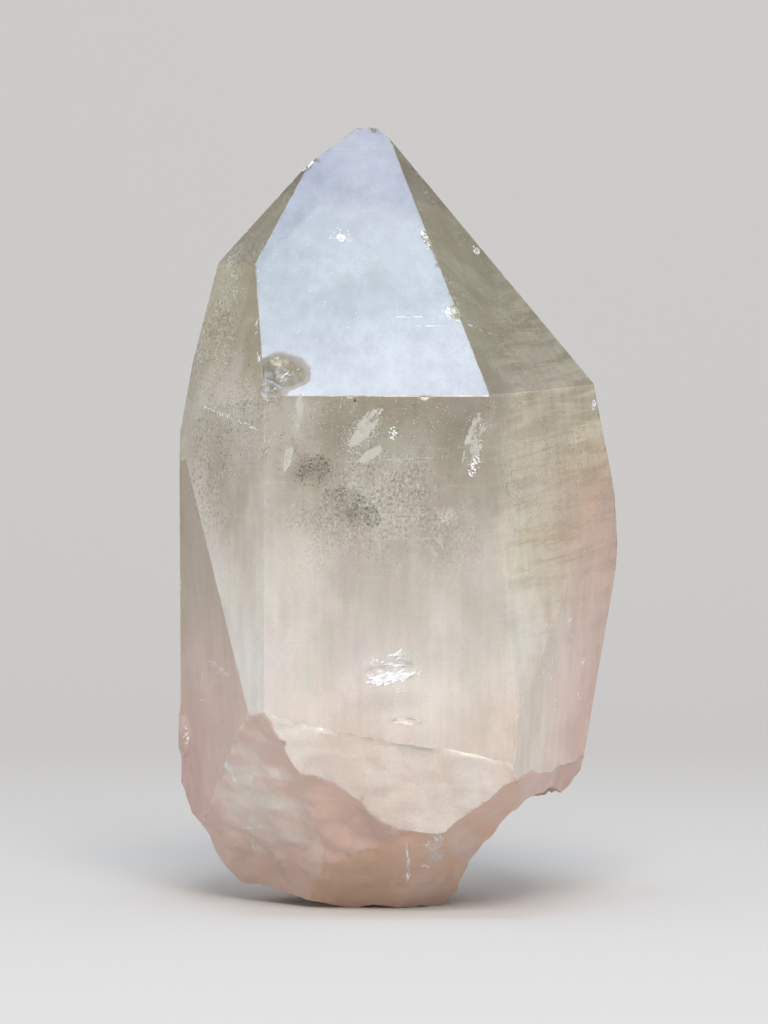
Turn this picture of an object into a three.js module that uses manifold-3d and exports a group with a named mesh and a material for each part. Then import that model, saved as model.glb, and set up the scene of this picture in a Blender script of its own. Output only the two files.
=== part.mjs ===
// A natural quartz crystal, standing on its broken foot: one single crystal with a six-sided prism, a six-faced
// point and a shell-like break below. Millimetres, +Z up along the crystal's long axis, -Y towards the viewer,
// origin on the surface that it stands on, under the middle of the stone.
import * as THREE from "three";
import { mergeVertices } from "three/addons/utils/BufferGeometryUtils.js";
import Module from "manifold-3d";

const wasm = await Module();
wasm.setup();

// Driving dimensions of the stone.
const TIP_HEIGHT = 120; // from the foot to the tip
const FRONT = 27; // from the long axis to the front prism face
const BACK = 26.5; // from the long axis to the back prism face
const SHOULDER = 77.4; // height at which the front prism face meets the point

// The faces of the crystal as it grew. Each looks towards a compass bearing, counted from the viewer's side with
// the right hand positive, leans back from upright by an angle, and passes through one known corner.
// On quartz the bearings are 60 degrees apart, and the faces of the point lean back by about 38 degrees.
const GROWN_FACES = {
  front_prism: { bearing: 0, lean: 0, corner: [0, -FRONT, 50] },
  right_prism: { bearing: 58.4, lean: 4.1, corner: [13.2, -FRONT, SHOULDER] },
  right_side: { bearing: 66.8, lean: -3.6, corner: [20.4, -20.8, 37.4] },
  right_shoulder: { bearing: 91, lean: 12, corner: [34, 4, 60.6] },
  right_rim: { bearing: 90, lean: 2.5, corner: [34.7, 4, 56] },
  right_hip: { bearing: 92, lean: -11.3, corner: [33.6, 4, 49.5] },
  right_back_taper: { bearing: 116, lean: 12, corner: [31.5, 5, 73] },
  right_back_prism: { bearing: 121, lean: -1.5, corner: [33.4, 9, 50] },
  back_prism: { bearing: 180, lean: 0, corner: [0, BACK, 50] },
  back_taper: { bearing: 184, lean: 7, corner: [0, BACK, 66] },
  left_back_prism: { bearing: -120, lean: 3, corner: [-34, 7, 40] },
  left_shoulder: { bearing: -100, lean: 11.4, corner: [-28.1, -0.8, 98.5] },
  left_rim: { bearing: -90, lean: 0.5, corner: [-33.95, 4, 50] },
  left_side: { bearing: -68.3, lean: -5.4, corner: [-31.9, -8.8, 65.5] },
  left_prism: { bearing: -57.1, lean: 0, corner: [-20.1, -FRONT, SHOULDER] },
  left_taper: { bearing: -58.7, lean: 18.1, corner: [-20.1, -FRONT, SHOULDER] },
  left_bevel: { bearing: -70, lean: 8, corner: [-32.2, -6, 75.6] },
  front_point: { bearing: 0, lean: 38.2, corner: [0, -FRONT, SHOULDER] },
  right_point: { bearing: 55.4, lean: 36.6, corner: [13.2, -FRONT, SHOULDER] },
  right_back_point: { bearing: 120, lean: 33.2, corner: [30.1, 1.1, 79.8] },
  back_point: { bearing: 180, lean: 38.5, corner: [0, BACK, 95.5] },
  left_back_point: { bearing: -120, lean: 35, corner: [-6.2, 7.1, 120.5] },
  left_point: { bearing: -56.7, lean: 39.9, corner: [-22.1, -11, 97.7] },
  tip: { bearing: 40, lean: 76, corner: [-4, 6, TIP_HEIGHT] },
};

// The breaks that ended the crystal below. They are curved and uneven: swell is the height of their long waves,
// ripple that of the arcs that spread from the point of the blow, and grain that of the small roughness.
const BREAKS = {
  front_scar: {
    bearing: -4, lean: -16.2, corner: [9.5, -FRONT, 24],
    swell: 0.4, ripple: 0.06, grain: 0.02, blow: [18, 14], seed: 1.3,
  },
  front_under: {
    bearing: -16.5, lean: -35.8, corner: [-5.5, -24, 16.4],
    swell: 0.7, ripple: 0.08, grain: 0.03, blow: [-30, -20], seed: 2.1,
  },
  left_front_under: {
    bearing: -49, lean: -31, corner: [-21.5, -25.2, 30.6],
    swell: 0.7, ripple: 0.14, grain: 0.04, blow: [-8, 16], seed: 12.4,
  },
  front_foot: {
    bearing: -6.4, lean: -50.2, corner: [2.2, -21.3, 10.8],
    swell: 0.6, ripple: 0.14, grain: 0.05, blow: [20, 24], seed: 3.7,
  },
  right_under: {
    bearing: 37.9, lean: -49.5, corner: [5.2, -23.2, 12.8],
    swell: 0.5, ripple: 0.14, grain: 0.05, blow: [-22, 20], seed: 4.9,
  },
  right_foot: {
    bearing: 92, lean: -46.3, corner: [25.1, 0, 18.2],
    swell: 0.4, ripple: 0.14, grain: 0.06, blow: [10, 26], seed: 5.2,
  },
  right_chip: {
    bearing: 69.7, lean: -25, corner: [22, -14.6, 21.8],
    swell: 0.4, ripple: 0.08, grain: 0.04, blow: [0, 14], seed: 6.4,
  },
  left_under: {
    bearing: -80, lean: -34, corner: [-34.6, 4, 16.6],
    swell: 0.6, ripple: 0.12, grain: 0.04, blow: [26, 10], seed: 7.7,
  },
  left_foot: {
    bearing: -92, lean: -78.5, corner: [-9.9, 0, 0.5],
    swell: 0.5, ripple: 0.16, grain: 0.1, blow: [-14, 12], seed: 8.3,
  },
  back_left_under: {
    bearing: -138, lean: -37, corner: [-16.9, 20, 13],
    swell: 1.2, ripple: 0.2, grain: 0.05, blow: [20, 18], seed: 9.6,
  },
  back_right_under: {
    bearing: 138, lean: -41, corner: [15, 16, 13],
    swell: 1.1, ripple: 0.2, grain: 0.05, blow: [-18, 22], seed: 10.8,
  },
  back_under: {
    bearing: 178, lean: -28, corner: [0, 23, 20],
    swell: 1.0, ripple: 0.2, grain: 0.05, blow: [6, 30], seed: 11.5,
  },
};
const RIPPLE_SPACING = 5.2; // from one arc of a break to the next
const RIPPLE_FADES = 26; // distance from the blow over which the arcs die away
const BREAK_SIZE = 76; // side of the block that takes a break away
const BREAK_CELL = 1.9; // side of one cell of its uneven face
const LONG_WAVES = [8.7, 7.1, 12.3]; // millimetres for each radian of the long waves
const GRAIN_WAVES = [2.3, 1.7, 1.9, -2.6]; // radians for each millimetre of the small roughness

// Hollows: small shell-like scars where the stone was knocked, and the dimple on the front face. Each is an
// ellipsoid of the given half-sizes, its short half-size along the surface's own bearing and lean.
const SCARS = [
  { at: [-17.4, -25.7, 82.25], bearing: 0, lean: 38, half: [5.6, 5.2, 2.5] }, // dimple at the front face's corner
  { at: [-19.5, -27, 79.8], bearing: -8, lean: 36, half: [4.2, 4, 2.1] },
  { at: [-14.8, 1.6, 114], bearing: -40, lean: 40, half: [1.4, 1.5, 0.5] }, // nick under the tip
  { at: [8.1, -17.1, 90.4], bearing: 28, lean: 40, half: [1.1, 1.5, 0.6] }, // bruises on the front edge of the point
  { at: [4.2, -8, 102.1], bearing: 28, lean: 40, half: [0.7, 1.9, 0.6] },
  { at: [13.4, 3.9, 101.4], bearing: 88, lean: 40, half: [0.9, 2.2, 0.6] }, // chips on its right edge
  { at: [30.9, -1, 77.6], bearing: 80, lean: 14, half: [1.3, 2.2, 0.8] },
  { at: [0.4, -27.15, 29.5], bearing: 3, lean: -6, half: [2.7, 0.4, 0.3] }, // thin scar below the middle
  { at: [-3.2, -27.4, 36.6], bearing: -12, lean: 10, half: [2.2, 1.3, 0.7] }, // bright bruise above it
  { at: [-0.4, -27.4, 37.7], bearing: 9, lean: -14, half: [2.6, 1.7, 0.8] },
  { at: [17.8, -6, 11.2], bearing: 92, lean: -46.3, half: [26, 9.3, 4.5] }, // scoops under the knob at the right
  { at: [14, -1, 7.5], bearing: 92, lean: -46.3, half: [20, 7.2, 2.4] },
  { at: [-35.7, 4, 20.8], bearing: -90, lean: -2, half: [10, 4.4, 1.9] }, // hollow below the left lip
  { at: [9.5, 27.3, 27], bearing: 176, lean: -14, half: [6.5, 4.2, 1.6] }, // hidden side
  { at: [-31.6, 13.6, 22], bearing: -128, lean: -17, half: [5, 6, 1.5] },
  { at: [23.5, 26.3, 63], bearing: 150, lean: 4, half: [1.4, 3.4, 1.1] },
];

// The lip on the left rim: a low swelling, which the hollow below it cuts off sharply.
const LIP = { at: [-33.9, 9, 26.6], bearing: -75, lean: 0, half: [7, 5, 1.2] };

// Shallow hollows under the foot, so that it stands on a few flat patches.
const FOOT_HOLLOWS = [
  { at: [-3.4, -6.5, 0], half: [2.9, 4.6, 0.5] },
  { at: [3.3, -7.5, 0], half: [0.9, 3.2, 0.4] },
  { at: [-1.5, 6.2, 0], half: [4.2, 3.2, 0.6] },
];

// Growth ledges: low flat plates, a crystal's last unfinished layers, on the faces named.
const LEDGES = [
  { on: "right_back_prism", across: [-6, 8], from: 34, to: 50, rise: 0.3 },
  { on: "back_prism", across: [-12, 5], from: 40, to: 63, rise: 0.3 },
  { on: "left_back_prism", across: [-8, 6], from: 36, to: 58, rise: 0.3 },
];
const LEDGE_ROOT = 2; // how far a plate reaches into the stone
const LEDGE_LEAN = 1.4; // how far the sides of a plate lean, as its ends are level like quartz's growth lines
const LEDGE_CORNER = 5; // size of its cut corners
const CUT_AFTER_LEDGES = ["right_point", "right_back_point", "left_side", "left_rim", "right_hip", "back_taper"];

const BLOCK = 200; // side of the block that a flat face is cut with, far larger than the stone
const BALL_COLUMNS = 24; // facets of a hollow around it, and from pole to pole
const BALL_ROWS = 16;

// Turns local +Z to the direction a surface looks in, with local X level.
function turned(bearing, lean) {
  const toBearing = new THREE.Matrix4().makeRotationZ(THREE.MathUtils.degToRad(bearing));
  const toLean = new THREE.Matrix4().makeRotationX(THREE.MathUtils.degToRad(90 - lean));
  return toBearing.multiply(toLean);
}

function solidOf(geometry) {
  const bare = geometry.clone();
  bare.deleteAttribute("normal");
  bare.deleteAttribute("uv");
  const merged = mergeVertices(bare, 1e-4);
  return new wasm.Manifold(
    new wasm.Mesh({
      numProp: 3,
      vertProperties: merged.attributes.position.array,
      triVerts: new Uint32Array(merged.index.array),
    }),
  );
}

function geometryOf(solid) {
  const { numProp, vertProperties, triVerts } = solid.getMesh();
  const place = new Float32Array((vertProperties.length / numProp) * 3);
  for (let i = 0; i < place.length / 3; i++) {
    place.set(vertProperties.subarray(i * numProp, i * numProp + 3), i * 3);
  }
  const geometry = new THREE.BufferGeometry().setAttribute("position", new THREE.BufferAttribute(place, 3));
  geometry.setIndex(new THREE.BufferAttribute(triVerts, 1));
  return geometry;
}

// A block that stands on a surface's plane and reaches outwards from it.
function blockOn({ bearing, lean, corner }, geometry) {
  return solidOf(
    geometry
      .applyMatrix4(turned(bearing, lean))
      .translate(corner[0], corner[1], corner[2]),
  );
}

function flatCutter(face) {
  return blockOn(face, new THREE.BoxGeometry(BLOCK, BLOCK, BLOCK).translate(0, 0, BLOCK / 2));
}

// Height of a break's uneven surface at a place on its plane.
function unevenness(x, y, { swell, ripple, grain, blow, seed }) {
  const [acrossWave, alongWave, slantWave] = LONG_WAVES;
  const crossed = Math.sin(x / acrossWave + seed) * Math.cos(y / alongWave - 2 * seed);
  const long = crossed + 0.6 * Math.sin((x + y) / slantWave + 3 * seed);
  const reach = Math.hypot(x - blow[0], y - blow[1]);
  const arcs = Math.abs(Math.sin((Math.PI * reach) / RIPPLE_SPACING)) * Math.exp(-reach / RIPPLE_FADES);
  const [a, b, c, d] = GRAIN_WAVES;
  const fine = Math.sin(a * x + b * y + seed) * Math.sin(c * x + d * y + 2 * seed);
  return 0.6 * swell * long + ripple * arcs + grain * fine;
}

function breakCutter(face) {
  const cells = Math.round(BREAK_SIZE / BREAK_CELL);
  const block = new THREE.BoxGeometry(BREAK_SIZE, BREAK_SIZE, BREAK_SIZE, cells, cells, 1);
  block.translate(0, 0, BREAK_SIZE / 2);
  const place = block.attributes.position;
  for (let i = 0; i < place.count; i++) {
    if (place.getZ(i) < 1) place.setZ(i, unevenness(place.getX(i), place.getY(i), face));
  }
  return blockOn(face, block);
}

function ellipsoid({ at, half, bearing = 0, lean = -90 }) {
  const ball = new THREE.SphereGeometry(1, BALL_COLUMNS, BALL_ROWS).scale(half[0], half[1], half[2]);
  return solidOf(ball.applyMatrix4(turned(bearing, lean)).translate(at[0], at[1], at[2]));
}

// A low plate on one face, level across it, that reaches a little into the stone so that the two join.
function ledge({ on, across, from, to, rise }) {
  const { bearing, lean, corner } = GROWN_FACES[on];
  const [left, right] = across;
  const plate = new THREE.Shape([
    new THREE.Vector2(left, from),
    new THREE.Vector2(right - LEDGE_CORNER, from),
    new THREE.Vector2(right, from + LEDGE_CORNER),
    new THREE.Vector2(right - LEDGE_LEAN, to),
    new THREE.Vector2(left + LEDGE_CORNER, to),
    new THREE.Vector2(left + LEDGE_LEAN, to - 2 * LEDGE_CORNER),
  ]);
  const block = new THREE.ExtrudeGeometry(plate, { depth: LEDGE_ROOT + rise, bevelEnabled: false });
  block.translate(0, -corner[2], -LEDGE_ROOT).applyMatrix4(turned(bearing, lean));
  const outward = new THREE.Vector3(corner[0], corner[1], 0);
  const look = new THREE.Vector3(0, 0, 1).applyMatrix4(turned(bearing, 0));
  const foot = look.clone().multiplyScalar(outward.dot(look));
  return solidOf(block.translate(foot.x, foot.y, corner[2]));
}

// The crystal: a block cut by its grown faces, with its ledges, then broken below and scarred.
function crystal() {
  let stone = solidOf(new THREE.BoxGeometry(BLOCK / 2, BLOCK / 2, TIP_HEIGHT + 1).translate(0, 0, TIP_HEIGHT / 2));
  for (const face of Object.values(GROWN_FACES)) stone = stone.subtract(flatCutter(face));
  for (const plate of LEDGES) stone = stone.add(ledge(plate));
  for (const name of CUT_AFTER_LEDGES) stone = stone.subtract(flatCutter(GROWN_FACES[name]));
  stone = stone.add(ellipsoid(LIP).subtract(flatCutter(GROWN_FACES.left_back_prism)));
  for (const face of Object.values(BREAKS)) stone = stone.subtract(breakCutter(face));
  for (const scar of SCARS) stone = stone.subtract(ellipsoid(scar));
  const ground = { bearing: 0, lean: -90, corner: [0, 0, 0] };
  stone = stone.subtract(flatCutter(ground));
  for (const hollow of FOOT_HOLLOWS) stone = stone.subtract(ellipsoid(hollow));
  return stone;
}

// The stone stands with the middle of its box over the origin.
function centred(geometry) {
  geometry.computeBoundingBox();
  const { min, max } = geometry.boundingBox;
  return geometry.translate(-(min.x + max.x) / 2, -(min.y + max.y) / 2, -min.z);
}

const quartz = new THREE.MeshStandardMaterial({ color: 0xcfc6b4, roughness: 0.08, metalness: 0 });
const group = new THREE.Group();
const stone = new THREE.Mesh(centred(geometryOf(crystal())), quartz);
stone.name = "quartz_crystal";
group.add(stone);
export default group;
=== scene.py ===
import math

import bmesh
import bpy
import numpy as np
from mathutils import Matrix, Vector, geometry, noise
from mathutils.bvhtree import BVHTree


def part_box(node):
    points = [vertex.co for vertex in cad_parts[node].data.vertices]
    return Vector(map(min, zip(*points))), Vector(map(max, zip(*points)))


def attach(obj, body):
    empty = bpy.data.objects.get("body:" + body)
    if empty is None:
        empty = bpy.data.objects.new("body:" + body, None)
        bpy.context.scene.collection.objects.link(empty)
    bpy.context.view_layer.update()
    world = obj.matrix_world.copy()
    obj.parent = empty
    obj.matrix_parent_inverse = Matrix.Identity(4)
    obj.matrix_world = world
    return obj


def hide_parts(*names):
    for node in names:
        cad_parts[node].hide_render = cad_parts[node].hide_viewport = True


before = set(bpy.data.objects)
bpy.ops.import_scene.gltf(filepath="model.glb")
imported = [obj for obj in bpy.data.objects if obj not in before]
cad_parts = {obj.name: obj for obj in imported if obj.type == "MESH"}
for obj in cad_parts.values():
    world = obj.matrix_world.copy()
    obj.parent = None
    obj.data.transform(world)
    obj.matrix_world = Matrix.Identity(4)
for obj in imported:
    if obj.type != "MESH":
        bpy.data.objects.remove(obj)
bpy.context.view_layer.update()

# The camera. The photograph was taken level with the middle of the stone, from about arm's length with a
# long lens, so that the upright edges stay nearly parallel.
CAMERA_AT = (-0.00217, -0.6, 0.0603)
FOCAL_PIXELS = 3890
IMAGE_HEIGHT = 1024
SENSOR_HEIGHT = 36

camera_data = bpy.data.cameras.new("camera")
camera_data.sensor_fit = "VERTICAL"
camera_data.sensor_height = SENSOR_HEIGHT
camera_data.lens = SENSOR_HEIGHT * FOCAL_PIXELS / IMAGE_HEIGHT
camera = bpy.data.objects.new("camera", camera_data)
camera.location = CAMERA_AT
camera.rotation_euler = (math.radians(90), 0, 0)
bpy.context.scene.collection.objects.link(camera)
bpy.context.scene.camera = camera

# The floor and backdrop. One pale matt sweep, level under the stone and curving up behind it.
FLOOR_FRONT = -1.6
FLOOR_BACK = 1.1
SWEEP_RADIUS = 0.7
SWEEP_TOP = 2.2
SWEEP_HALF_WIDTH = 2.2
SWEEP_STEPS = 24


def linear(hex_colour):
    """The linear colour of an sRGB hex string."""
    parts = [int(hex_colour[i:i + 2], 16) / 255 for i in (0, 2, 4)]
    return tuple(c / 12.92 if c <= 0.04045 else ((c + 0.055) / 1.055) ** 2.4 for c in parts) + (1.0,)


def add_node(tree, kind, links=None, **settings):
    """Adds a node. Settings are its properties, and links its inputs: values, nodes or outputs."""
    node = tree.nodes.new(kind)
    for name, value in settings.items():
        setattr(node, name, value)
    for socket, value in (links or {}).items():
        if isinstance(value, bpy.types.Node):
            value = next(output for output in value.outputs if output.enabled)
        if isinstance(value, bpy.types.NodeSocket):
            tree.links.new(value, node.inputs[socket])
        else:
            node.inputs[socket].default_value = value
    return node


def new_material(name):
    """An empty node material, its tree and its output node."""
    material = bpy.data.materials.new(name)
    material.use_nodes = True
    material.node_tree.nodes.clear()
    return material, material.node_tree, add_node(material.node_tree, "ShaderNodeOutputMaterial")


def new_piece(name, points, faces, material):
    """A mesh object at the origin, with its place in its mesh."""
    mesh = bpy.data.meshes.new(name)
    mesh.from_pydata([tuple(p) for p in points], [], faces)
    mesh.materials.append(material)
    piece = bpy.data.objects.new(name, mesh)
    bpy.context.scene.collection.objects.link(piece)
    return piece


paper, tree, paper_out = new_material("pale_paper")
paper_shader = add_node(tree, "ShaderNodeBsdfPrincipled", {
    "Base Color": linear("dddcda"),
    "Roughness": 0.85,
    "Specular IOR Level": 0.2,
})
tree.links.new(paper_shader.outputs[0], paper_out.inputs["Surface"])

profile = [(FLOOR_FRONT, 0.0), (FLOOR_BACK - SWEEP_RADIUS, 0.0)]
for step in range(1, SWEEP_STEPS + 1):
    turn = math.radians(90) * step / SWEEP_STEPS
    profile.append((
        FLOOR_BACK - SWEEP_RADIUS + SWEEP_RADIUS * math.sin(turn),
        SWEEP_RADIUS * (1 - math.cos(turn)),
    ))
profile.append((FLOOR_BACK, SWEEP_TOP))
sweep_points = [(side * SWEEP_HALF_WIDTH, y, z) for y, z in profile for side in (-1, 1)]
sweep_faces = [(2 * i, 2 * i + 1, 2 * i + 3, 2 * i + 2) for i in range(len(profile) - 1)]
sweep = new_piece("backdrop_sweep", sweep_points, sweep_faces, paper)
sweep.data.polygons.foreach_set("use_smooth", [True] * len(sweep.data.polygons))

# The light: an even pale room, a large soft lamp high in front and a little to the right, and a small cool
# softbox over the stone, which the front face of the point mirrors whole.
ROOM_LIGHT = 0.56
LAMP_WATTS = 21.6
SOFTBOX_AWAY = 0.31
SOFTBOX_LEAN = 13.6
SOFTBOX_SIZE = (0.1, 0.13)
SOFTBOX_WATTS = 0.28

bpy.context.scene.view_settings.view_transform = "Standard"
bpy.context.scene.cycles.max_bounces = 7
bpy.context.scene.cycles.diffuse_bounces = 2
bpy.context.scene.cycles.glossy_bounces = 3
bpy.context.scene.cycles.transmission_bounces = 6
world = bpy.data.worlds.new("room")
world.use_nodes = True
world.node_tree.nodes.clear()
room = add_node(world.node_tree, "ShaderNodeBackground", {
    "Color": linear("f4f5f8"),
    "Strength": ROOM_LIGHT,
})
room_out = add_node(world.node_tree, "ShaderNodeOutputWorld")
world.node_tree.links.new(room.outputs[0], room_out.inputs["Surface"])
bpy.context.scene.world = world


def add_area_light(name, place, target, size, watts, hex_colour):
    """A rectangular lamp at a place, turned towards a target."""
    data = bpy.data.lights.new(name, "AREA")
    data.shape = "RECTANGLE"
    data.size, data.size_y = size
    data.energy = watts
    data.color = linear(hex_colour)[:3]
    lamp = bpy.data.objects.new(name, data)
    lamp.location = place
    lamp.rotation_euler = (Vector(target) - Vector(place)).to_track_quat("-Z", "Y").to_euler()
    bpy.context.scene.collection.objects.link(lamp)
    return lamp


add_area_light("soft_lamp", (0.12, -1.35, 1.2), (0, 0, 0.06), (0.8, 0.8), LAMP_WATTS, "fffaf5")
face_middle = Vector((-0.004, -0.011, 0.097))
lean = math.radians(90 - SOFTBOX_LEAN)
towards_softbox = Vector((0.0, -math.cos(lean), math.sin(lean)))
add_area_light(
    "softbox", face_middle + SOFTBOX_AWAY * towards_softbox, face_middle, SOFTBOX_SIZE, SOFTBOX_WATTS,
    "badbff",
)

# The crystal. Clear to milky rock crystal that grew as one piece: six upright faces with level growth lines,
# a six-faced point, and a curved, uneven break below, where it was parted from its bed. Its edges are nicked.
# Its sizes are in millimetres and its turns in degrees.
MM = 0.001
MERGE = 0.001
FLAT_TURN = 0.4
SAME_PLANE = 0.01
SAME_LOOK = 0.99999
GROWN_AREA = 18
BREAK_TOP = 29
LEDGE_AROUND = 14
LEDGE_HIGHEST = 0.5
LEDGE_SINKS = 0.75
LEDGE_TURN = 18
SHARP_TURN = 2.5
SOFT_BREAK_TURN = 30
EDGE_TURN = 9
EDGE_WIDTH = 0.11
SLICE = 1.0
CUT_NEAR = 0.0001
FINE_CELL = 0.4
FINE_RINGS = 2
SMOOTH_RINGS = 3
SCAR_SMOOTHING = 8
LIP_SMOOTHING = 2

# What a face is, where it isn't a grown face with the number of its plane.
BREAK = 0
WORN_EDGE = -1
LEDGE_WALL = -2


def between(value, low, high):
    """How far a value is from low to high, from 0 to 1."""
    return min(max((value - low) / (high - low), 0), 1)


def compass(normal):
    """Where a surface looks: its bearing, 0 towards the viewer and right hand positive, and its lean back."""
    return math.degrees(math.atan2(normal.x, -normal.y)), math.degrees(math.asin(max(-1, min(1, normal.z))))


def number_planes(solid, kind):
    """Gives each flat face the number of its plane, from the largest face down, and lists the planes."""
    planes = []
    for face in sorted(solid.faces, key=lambda face: -face.calc_area()):
        face.smooth = True
        on_planes = [
            number for number, (look, reach) in enumerate(planes, start=1)
            if max(abs(look.dot(vert.co) - reach) for vert in face.verts) < SAME_PLANE
        ]
        if on_planes:
            face[kind] = on_planes[0]
        elif face.calc_area() > GROWN_AREA:
            planes.append((face.normal.copy(), face.normal.dot(face.calc_center_median())))
            face[kind] = len(planes)
        elif face.calc_center_median().z > BREAK_TOP and face.calc_perimeter() > LEDGE_AROUND:
            face[kind] = LEDGE_WALL
    return planes


def sink_ledges(solid, kind, planes):
    """Lowers the plates of the growth ledges towards the faces under them, so that the steps stay faint."""
    sinks = {}
    for face in solid.faces:
        look, reach = planes[face[kind] - 1]
        for wide_look, wide_reach in planes:
            on_ledge = look.dot(wide_look) > SAME_LOOK and SAME_PLANE < reach - wide_reach < LEDGE_HIGHEST
            if face[kind] > BREAK and on_ledge:
                sinks.update({vert: look * LEDGE_SINKS * (reach - wide_reach) for vert in face.verts})
    for vert, sink in sinks.items():
        vert.co -= sink


def join_planes(solid, kind):
    """Makes each grown face one whole face."""
    inner = [
        edge for edge in solid.edges
        if len(edge.link_faces) == 2 and edge.link_faces[0][kind] == edge.link_faces[1][kind] > BREAK
    ]
    bmesh.ops.dissolve_edges(solid, edges=inner, use_verts=True)


def wear_edges(solid, kind):
    """Marks the sharp edges, and cuts a narrow worn strip along each one between two grown faces."""
    worn = []
    for edge in solid.edges:
        turn = math.degrees(edge.calc_face_angle(0))
        grown = sum(face[kind] != BREAK for face in edge.link_faces)
        edge.smooth = turn < (SHARP_TURN if grown else SOFT_BREAK_TURN)
        if any(face[kind] == LEDGE_WALL for face in edge.link_faces):
            edge.smooth = turn < LEDGE_TURN
        if grown == 2 and turn > EDGE_TURN and min(face.calc_area() for face in edge.link_faces) > GROWN_AREA:
            worn.append(edge)
    wear_and_highlight = bmesh.ops.bevel(
        solid, geom=worn, offset=EDGE_WIDTH, offset_type="OFFSET", segments=1, profile=0.5,
        affect="EDGES", clamp_overlap=False,
    )
    for face in wear_and_highlight["faces"]:
        face[kind] = WORN_EDGE
        face.smooth = True


def cut_cells(solid, low, high):
    """Slices the solid into small cells, and puts its faces in one set order."""
    for axis in range(3):
        count = int((high[axis] - low[axis]) / SLICE)
        normal = Vector([float(axis == i) for i in range(3)])
        for cut in range(1, count):
            place = normal * (low[axis] + (high[axis] - low[axis]) * cut / count)
            everything = solid.verts[:] + solid.edges[:] + solid.faces[:]
            bmesh.ops.bisect_plane(solid, geom=everything, dist=CUT_NEAR, plane_co=place, plane_no=normal)
    order = Vector((1, 97, 9431))
    solid.faces.sort(key=lambda face: face.calc_center_median().dot(order))


def by_scars(solid, kind, rings):
    """The corners of the small scars above the break, and those within some rings of faces round them."""
    scarred = {
        vert for face in solid.faces if face[kind] == BREAK and face.calc_center_median().z > BREAK_TOP
        for vert in face.verts
    }
    for ring in range(rings):
        scarred |= {vert for near in scarred for face in near.link_faces for vert in face.verts}
    return scarred


def smooth(solid, verts, times):
    """Eases the corners towards their neighbours."""
    for smoothing in range(times):
        bmesh.ops.smooth_vert(
            solid, verts=verts, factor=0.5, use_axis_x=True, use_axis_y=True, use_axis_z=True,
        )


stone_solid = bmesh.new()
stone_solid.from_mesh(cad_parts["quartz_crystal"].data)
bmesh.ops.scale(stone_solid, vec=(1 / MM, 1 / MM, 1 / MM), verts=stone_solid.verts)
bmesh.ops.remove_doubles(stone_solid, verts=stone_solid.verts, dist=MERGE)
bmesh.ops.dissolve_limit(
    stone_solid, angle_limit=math.radians(FLAT_TURN), verts=stone_solid.verts, edges=stone_solid.edges,
    delimit=set(),
)
kind = stone_solid.faces.layers.int.new("kind")
planes = number_planes(stone_solid, kind)
sink_ledges(stone_solid, kind, planes)
join_planes(stone_solid, kind)
wear_edges(stone_solid, kind)
cut_cells(stone_solid, *[[c / MM for c in corner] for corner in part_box("quartz_crystal")])

# The dimple at the front face's lower left corner: three soft bowls, each a middle, a reach and a depth, with
# faint rings and a crushed floor.
DIMPLE_BOWLS = [
    (Vector((-17.2, -24.1, 81.1)), 4.3, 0.65), (Vector((-19.3, -26.0, 78.7)), 3.4, 0.45),
    (Vector((-19.6, -25.2, 80.0)), 3.4, 0.3),
]
DIMPLE_RINGS = 0.9
RING_DEPTH = 0.05
COARSE_CRUSH = 0.13
FINE_CRUSH = 0.05


def dimple_depth(place):
    """How deep the dimple is at a place."""
    depth = 0
    for middle, reach, deepest in DIMPLE_BOWLS:
        away = (place - middle).length / reach * (1 + 0.25 * noise.noise(place * 0.35))
        if away < 1:
            rings = RING_DEPTH * noise.noise(place * 0.5) * math.cos(math.tau * away * reach / DIMPLE_RINGS)
            crushed = COARSE_CRUSH * noise.noise(place * 0.75) + FINE_CRUSH * noise.noise(place * 1.9)
            depth = max(depth, (deepest + rings + crushed) * (1 - away ** 2) ** 2)
    return depth


# Finer cells by the scars, the dimple and the worn edges, and then softer scars.
fine_verts = by_scars(stone_solid, kind, FINE_RINGS)
fine_verts |= {vert for vert in stone_solid.verts if dimple_depth(vert.co) > 0}
beside_wear = {
    face for edge_face in stone_solid.faces if edge_face[kind] == WORN_EDGE
    for vert in edge_face.verts for face in vert.link_faces
}
fine = {edge for vert in fine_verts for edge in vert.link_edges}
fine |= {edge for face in beside_wear for edge in face.edges}
fine = [edge for edge in stone_solid.edges if edge in fine and edge.calc_length() > FINE_CELL]
bmesh.ops.subdivide_edges(stone_solid, edges=fine, cuts=2, use_grid_fill=True)

scarred = by_scars(stone_solid, kind, SMOOTH_RINGS)
scarred = [
    vert for vert in stone_solid.verts
    if vert in scarred and all(face[kind] != WORN_EDGE for face in vert.link_faces)
]
for vert in scarred:
    for edge in vert.link_edges:
        if any(face[kind] == BREAK for face in edge.link_faces):
            edge.smooth = True
smooth(stone_solid, scarred, SCAR_SMOOTHING)

# The low lip on the left rim, which becomes part of the grown faces beside it, and the scoops under the knob.
LIP_RIGHT = -31
LIP_HEIGHTS = (20, 33)
SCOOPS_LEFT = 15
SCOOPS_TOP = 21


def near_lip(place):
    """Whether a place is on or round the lip."""
    return place.x < LIP_RIGHT and LIP_HEIGHTS[0] < place.z < LIP_HEIGHTS[1]


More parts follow.
